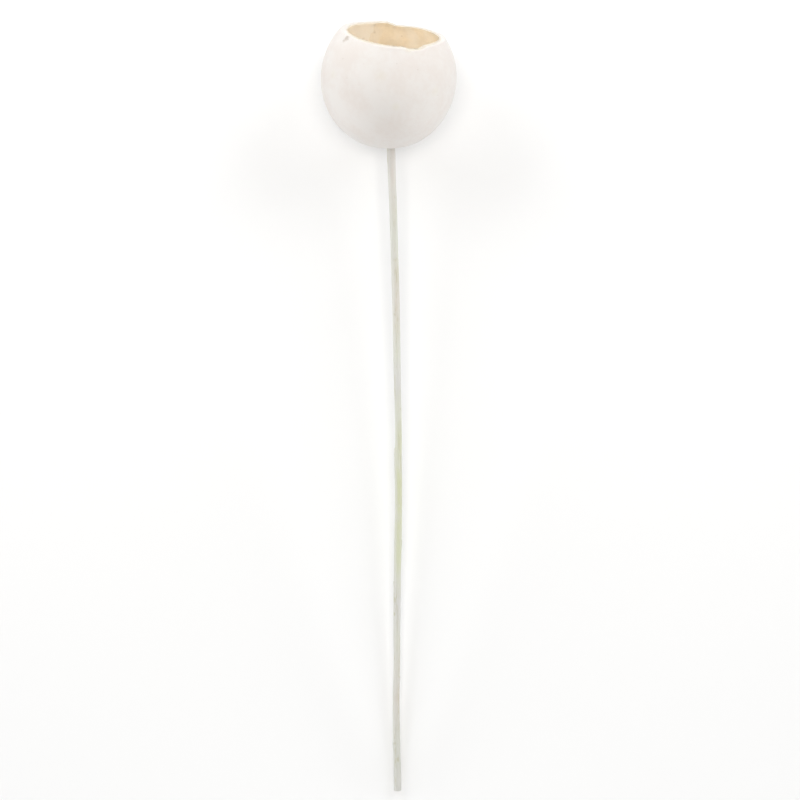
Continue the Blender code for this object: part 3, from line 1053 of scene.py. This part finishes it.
def shell_material(settings, lying):
    """Matte paint outside, sawn wood on the rim and bare tan wall inside, on one skin."""
    material, build, shader = new_material("painted_pod_shell", 0.78, settings.paint_colour)
    place = standing_coordinates(build, lying)
    past_edge, past_lip, membrane = (
        build.attribute(name) for name in ("past_edge", "past_lip", "membrane")
    )

    paint = mottled(build, place, 55.0, rgba(settings.paint_colour), rgba(settings.paint_shade))
    pores = sown(build, place, scale=420.0, size=0.16, share=0.08)
    painted = build.over(paint["Colour"], pores, 0.18, settings.flaw_and_shadow_colour)
    painted = build.over(painted, build.attribute("stains"), 0.40, settings.stain_colour)

    sawn = grown(build, place, stretch=(1.0, 4.0, 1.0), scale=700.0)
    rim = build.over(rgba(settings.rim_colour), sawn["Streaks"], 0.35, settings.paint_colour)

    grain = grown(build, place, stretch=(1.0, 1.0, 0.22), scale=420.0)
    shade = tuple(part * 0.91 for part in settings.inside_colour)
    wall = mottled(build, place, 95.0, rgba(settings.inside_colour), rgba(shade))["Colour"]
    wall = build.over(wall, grain["Streaks"], 0.45, settings.membrane_colour)
    crumbs = sown(build, place, scale=260.0, size=0.20, share=0.14)
    wall = build.over(wall, crumbs, 0.22, settings.flaw_and_shadow_colour)
    wall = build.over(wall, membrane, 0.85, settings.membrane_colour)
    # A painted shadow line just outside the membrane's torn edge, in the flaws' brown
    membrane_edge_shadow = build.times(build.between(membrane, 0.01, 0.10), build.between(membrane, 0.35, 0.18))
    wall = build.over(wall, membrane_edge_shadow, 0.12, settings.flaw_and_shadow_colour)
    # Painted shade under the back of the rim, broken up by a fine cloud
    shadow = build.cloud(place, 520.0, detail=4.0, roughness=0.6)
    painted_shade = build.times(build.attribute("painted_shade"), build.between(shadow, 0.30, 0.66))
    wall = build.over(wall, painted_shade, 0.30, settings.painted_shade_colour)

    # Paint stops raggedly a little past the edge and drifts thinly over the rest of the rim
    bare = build.mix(build.between(past_lip, -0.15, 0.35), rim, wall)
    coat = torn_paint(build, place, build.less(0.7, past_edge), scale=380.0, depth=3.2)
    mist = build.between(past_lip, 1.2, -1.4, 0.0, 0.40)
    mist_patches = build.cloud(place, 60.0, detail=2.0, roughness=0.5)
    mist_patches = build.between(mist_patches, 0.35, 0.65, 0.30, 1.0)
    mist_grain = build.cloud(place, 900.0, detail=3.0, roughness=0.7)
    mist = build.times(mist, build.between(mist_grain, 0.42, 0.62))
    coat = build.maths("MAXIMUM", coat, build.times(mist, mist_patches))
    colour = build.mix(coat, bare, painted)

    ragged = build.cloud(place, 700.0, detail=4.0, roughness=0.65)
    ragged = build.times(build.less(ragged, 0.5), 0.8)
    flaw = build.between(build.sum(build.attribute("flaws"), ragged), 0.25, 0.85)
    build.put(shader["Base Color"], build.over(colour, flaw, 0.55, settings.flaw_and_shadow_colour))

    chalk = build.cloud(place, 1500.0, detail=4.0, roughness=0.65)
    build.put(shader["Roughness"], build.between(chalk, 0.25, 0.75, 0.68, 0.90))

    orange_peel = build.times(build.cloud(place, 330.0, detail=2.0, roughness=0.5), 0.55)
    paint_height = build.sum(build.times(chalk, 0.30), orange_peel)
    paint_height = build.less(paint_height, build.times(pores, 0.9))
    wood_height = build.less(build.times(grain["Fibres"], 2.6), crumbs)
    heights = {0: coat, 2: wood_height, 3: paint_height}
    height = build.add("ShaderNodeMix", heights, data_type="FLOAT").outputs[0]
    height = build.less(height, build.times(flaw, 1.2))
    put_bump(build, shader, height, strength=0.55, distance=0.00012)
    return material


def wash_tint(build, place):
    """The washed bark's colour by height, from the cut end up to the cup."""
    height = build.add("ShaderNodeSeparateXYZ", {"Vector": place}).outputs["Z"]
    bottom, top = STEM_ROUTE[-1][2], STEM_ROUTE[0][2]
    reach = {"Value": height, "From Min": bottom, "From Max": top}
    along = build.add("ShaderNodeMapRange", reach).outputs["Result"]
    tint = build.add("ShaderNodeValToRGB", {"Fac": along})
    ramp = tint.color_ramp
    while len(ramp.elements) < len(WASH_TINTS):
        ramp.elements.new(1.0)
    for element, (level, colour) in zip(ramp.elements, WASH_TINTS):
        element.position = (level - bottom) / (top - bottom)
        element.color = rgba(colour)
    return tint.outputs["Color"]


def stem_material(settings, lying):
    """A green grey stick under a thin wash, which is worn through along its ribs and at its knots."""
    material, build, shader = new_material("washed_stick", 0.74, settings.wash_colour)
    place = standing_coordinates(build, lying)
    knots = build.attribute("knots")
    wash = rgba(settings.wash_colour)

    tint = wash_tint(build, place)
    washed = build.mix(0.45, wash, tint)
    washed = mottled(build, build.stretched(place, (1.0, 1.0, 0.3)), 260.0, washed, tint)["Colour"]
    sprayed = build.times(build.between(build.attribute("sprayed"), 0.1, 0.95), 0.60)
    washed = build.mix(sprayed, washed, wash)
    grain = grown(build, place, stretch=(1.0, 1.0, 0.05), scale=1300.0)
    bare = build.mix(build.times(grain["Fibres"], 0.7), rgba(settings.wood_colour), tint)

    worn = build.times(knots, 0.25)
    cover = build.less(build.between(grain["Streaks"], 0.0, 1.0, 0.62, 0.06), worn)
    coat = torn_paint(build, build.stretched(place, (1.0, 1.0, 0.10)), cover, scale=1500.0, depth=1.9)
    coat = build.times(coat, 0.85)
    colour = build.mix(build.sum(coat, 0.10), bare, washed)
    longer = build.stretched(place, (1.0, 1.0, 0.45))
    lenticels = sown(build, longer, scale=900.0, size=0.22, share=0.12)
    colour = build.over(colour, lenticels, 0.45, settings.wood_colour)
    colour = build.over(colour, knots, 0.18, settings.wood_colour)
    pith_grain = build.cloud(place, 2200.0, detail=4.0, roughness=0.6)
    pith = build.mix(pith_grain, rgba(settings.pith_colour), rgba(settings.wood_colour))
    build.put(shader["Base Color"], build.mix(build.attribute("cut_ends"), colour, pith))
    build.put(shader["Roughness"], build.between(coat, 0.0, 1.0, 0.62, 0.82))

    height = build.sum(build.times(grain["Fibres"], 1.3), build.times(coat, 0.25))
    height = build.less(height, build.times(lenticels, 0.6))
    put_bump(build, shader, height, strength=0.9, distance=0.00018)
    return material


def glue_material(settings, lying):
    """Cloudy amber glue with a soft skin."""
    material, build, shader = new_material("set_amber_glue", 0.20, settings.colour)
    shader["Specular IOR Level"].default_value = 0.5
    place = standing_coordinates(build, lying)
    shade = tuple(part * 0.8 for part in settings.colour)
    cloudy = mottled(build, place, 240.0, rgba(settings.colour), rgba(shade))
    build.put(shader["Base Color"], cloudy["Colour"])
    build.put(shader["Roughness"], build.between(cloudy["Cloud"], 0.0, 1.0, 0.14, 0.26))
    shader["Subsurface Weight"].default_value = 0.25
    shader["Subsurface Scale"].default_value = 0.002
    height = build.cloud(place, 500.0, detail=2.0, roughness=0.5)
    put_bump(build, shader, height, strength=0.3, distance=0.0002)
    return material


def add_piece(bm, name, material, lying, node):
    """A finished mesh as a piece under the root body, standing in for a CAD node, which it hides."""
    piece = finish_mesh(bm, name, material, lying)
    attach(piece, "root")
    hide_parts(node)


class MESH_OT_bell_cup_shell(bpy.types.Operator):
    """Build the sawn, painted shell with its rim, inner wall and stem hole"""

    bl_idname = "mesh.bell_cup_shell"
    bl_label = "Add Shell"

    def execute(self, context):
        settings = context.scene.bell_cup_shell
        lying = lie_down(CupForm(settings))
        material = shell_material(settings, lying)
        add_piece(shell_mesh(settings), "pod_shell", material, lying, "cup")
        return {"FINISHED"}


class MESH_OT_bell_cup_stem(bpy.types.Operator):
    """Build the natural stick with its knots, pits and cut ends"""

    bl_idname = "mesh.bell_cup_stem"
    bl_label = "Add Stick"

    def execute(self, context):
        settings = context.scene.bell_cup_stem
        lying = lie_down(CupForm(context.scene.bell_cup_shell))
        material = stem_material(settings, lying)
        add_piece(stem_mesh(settings), "pod_stick", material, lying, "stem")
        return {"FINISHED"}


class MESH_OT_bell_cup_glue(bpy.types.Operator):
    """Build the glue drop that holds the stick inside the cup"""

    bl_idname = "mesh.bell_cup_glue"
    bl_label = "Add Glue"

    def execute(self, context):
        settings = context.scene.bell_cup_glue
        form = CupForm(context.scene.bell_cup_shell)
        lying = lie_down(form)
        material = glue_material(settings, lying)
        add_piece(glue_mesh(settings, form), "glue_drop", material, lying, "glue_bead")
        return {"FINISHED"}


# The camera as it stood before the standing pod, and how far it looked down
CAMERA_PLACE = (0.00675, -1.49700, 0.21118)
CAMERA_DIP = 15.2 * TO_RADIANS
FLOOR_RADIUS = 1.45
FLOOR_GAP = 0.00005

WARM = (1.00, 0.96, 0.91)
COOL = (0.97, 0.985, 1.00)
# Softboxes aimed at the cup: (name, place from the cup's centre, width and height, power, colour)
SOFTBOXES = (
    ("overhead_softbox", (0.0, 0.17, 1.60), (0.9, 0.5), 11.6, WARM),
    ("mouth_softbox", (0.0, 1.55, 0.56), (1.6, 0.6), 10.5, COOL),
    ("left_front_softbox", (-1.1, 0.9, 0.8), (1.0, 0.8), 11.7, COOL),
    ("right_front_softbox", (1.1, 0.9, 0.8), (1.0, 0.8), 11.5, COOL),
    ("left_strip", (-1.6, 0.0, 0.20), (1.6, 0.25), 8.5, COOL),
    ("right_strip", (1.6, 0.0, 0.20), (1.6, 0.25), 8.5, COOL),
    ("stem_softbox", (0.0, -1.7, 0.6), (2.0, 0.9), 20.0, COOL),
)


def add_softbox(name, place, aim, size, power, colour):
    """A large rectangular light at a place, turned towards its aim."""
    light = bpy.data.lights.new(name, "AREA")
    light.shape = "RECTANGLE"
    light.size, light.size_y = size
    light.energy = power
    light.color = colour
    lamp = bpy.data.objects.new(name, light)
    lamp.location = place
    lamp.rotation_euler = (Vector(aim) - Vector(place)).to_track_quat("-Z", "Y").to_euler()
    bpy.context.scene.collection.objects.link(lamp)


class SCENE_OT_bell_cup_stage(bpy.types.Operator):
    """Set up the pale floor, the soft studio light and the camera that looks down on the pod"""

    bl_idname = "scene.bell_cup_stage"
    bl_label = "Add Stage"

    def execute(self, context):
        scene = context.scene
        settings = scene.bell_cup_stage
        lying = lie_down(CupForm(scene.bell_cup_shell))
        self.add_floor(settings)
        self.add_lights(scene, settings, lying.translation)
        self.add_camera(scene, settings, lying)
        scene.view_settings.view_transform = "Standard"
        return {"FINISHED"}

    def add_floor(self, settings):
        bm = bmesh.new()
        bmesh.ops.create_circle(bm, cap_ends=True, segments=96, radius=FLOOR_RADIUS)
        bmesh.ops.translate(bm, verts=bm.verts, vec=(0, 0, -FLOOR_GAP))
        mesh = bpy.data.meshes.new("studio_floor")
        bm.to_mesh(mesh)
        bm.free()
        material, _, shader = new_material("pale_studio_floor", 0.9, settings.floor_colour)
        shader["Base Color"].default_value = rgba(settings.floor_colour)
        mesh.materials.append(material)
        floor = bpy.data.objects.new("studio_floor", mesh)
        bpy.context.scene.collection.objects.link(floor)

    def add_lights(self, scene, settings, cup):
        world = bpy.data.worlds.new("studio_fill")
        world.use_nodes = True
        build = NodeBuilder(world.node_tree)
        seen = build.add("ShaderNodeLightPath", {}).outputs["Is Camera Ray"]
        strength = build.between(seen, 0.0, 1.0, settings.fill, settings.backdrop)
        backdrop = world.node_tree.nodes["Background"].inputs
        backdrop["Color"].default_value = (1.0, 1.0, 1.0, 1.0)
        build.put(backdrop["Strength"], strength)
        scene.world = world
        for name, place, size, power, colour in SOFTBOXES:
            add_softbox(name, cup + Vector(place), cup, size, power * settings.brightness, colour)

    def add_camera(self, scene, settings, lying):
        data = bpy.data.cameras.new("studio_camera")
        data.lens = settings.lens
        data.clip_start = 0.01
        data.clip_end = 20.0
        camera = bpy.data.objects.new("studio_camera", data)
        looking = Matrix.Rotation(math.pi / 2 - CAMERA_DIP, 4, "X")
        camera.matrix_world = lying @ Matrix.Translation(CAMERA_PLACE) @ looking
        scene.collection.objects.link(camera)
        scene.camera = camera


class VIEW3D_PT_bell_cup(bpy.types.Panel):
    """The pod's settings and the buttons that build its pieces"""

    bl_label = "Bell Cup Pod"
    bl_space_type = "VIEW_3D"
    bl_region_type = "UI"
    bl_category = "Bell Cup"

    def draw(self, context):
        for name, operator in zip(SETTINGS, OPERATORS):
            box = self.layout.box()
            settings = getattr(context.scene, name)
            for label in settings.bl_rna.properties.keys():
                if label not in ("rna_type", "name"):
                    box.prop(settings, label)
            box.operator(operator.bl_idname)


OPERATORS = (
    MESH_OT_bell_cup_shell,
    MESH_OT_bell_cup_stem,
    MESH_OT_bell_cup_glue,
    SCENE_OT_bell_cup_stage,
)


def register():
    for cls in (*SETTINGS.values(), *OPERATORS, VIEW3D_PT_bell_cup):
        bpy.utils.register_class(cls)
    for name, cls in SETTINGS.items():
        setattr(bpy.types.Scene, name, PointerProperty(type=cls))


def unregister():
    for name in SETTINGS:
        delattr(bpy.types.Scene, name)
    for cls in reversed((*SETTINGS.values(), *OPERATORS, VIEW3D_PT_bell_cup)):
        bpy.utils.unregister_class(cls)


def main():
    register()
    bpy.ops.mesh.bell_cup_shell()
    bpy.ops.mesh.bell_cup_stem()
    bpy.ops.mesh.bell_cup_glue()
    bpy.ops.scene.bell_cup_stage()


if __name__ == "__main__":
    main()
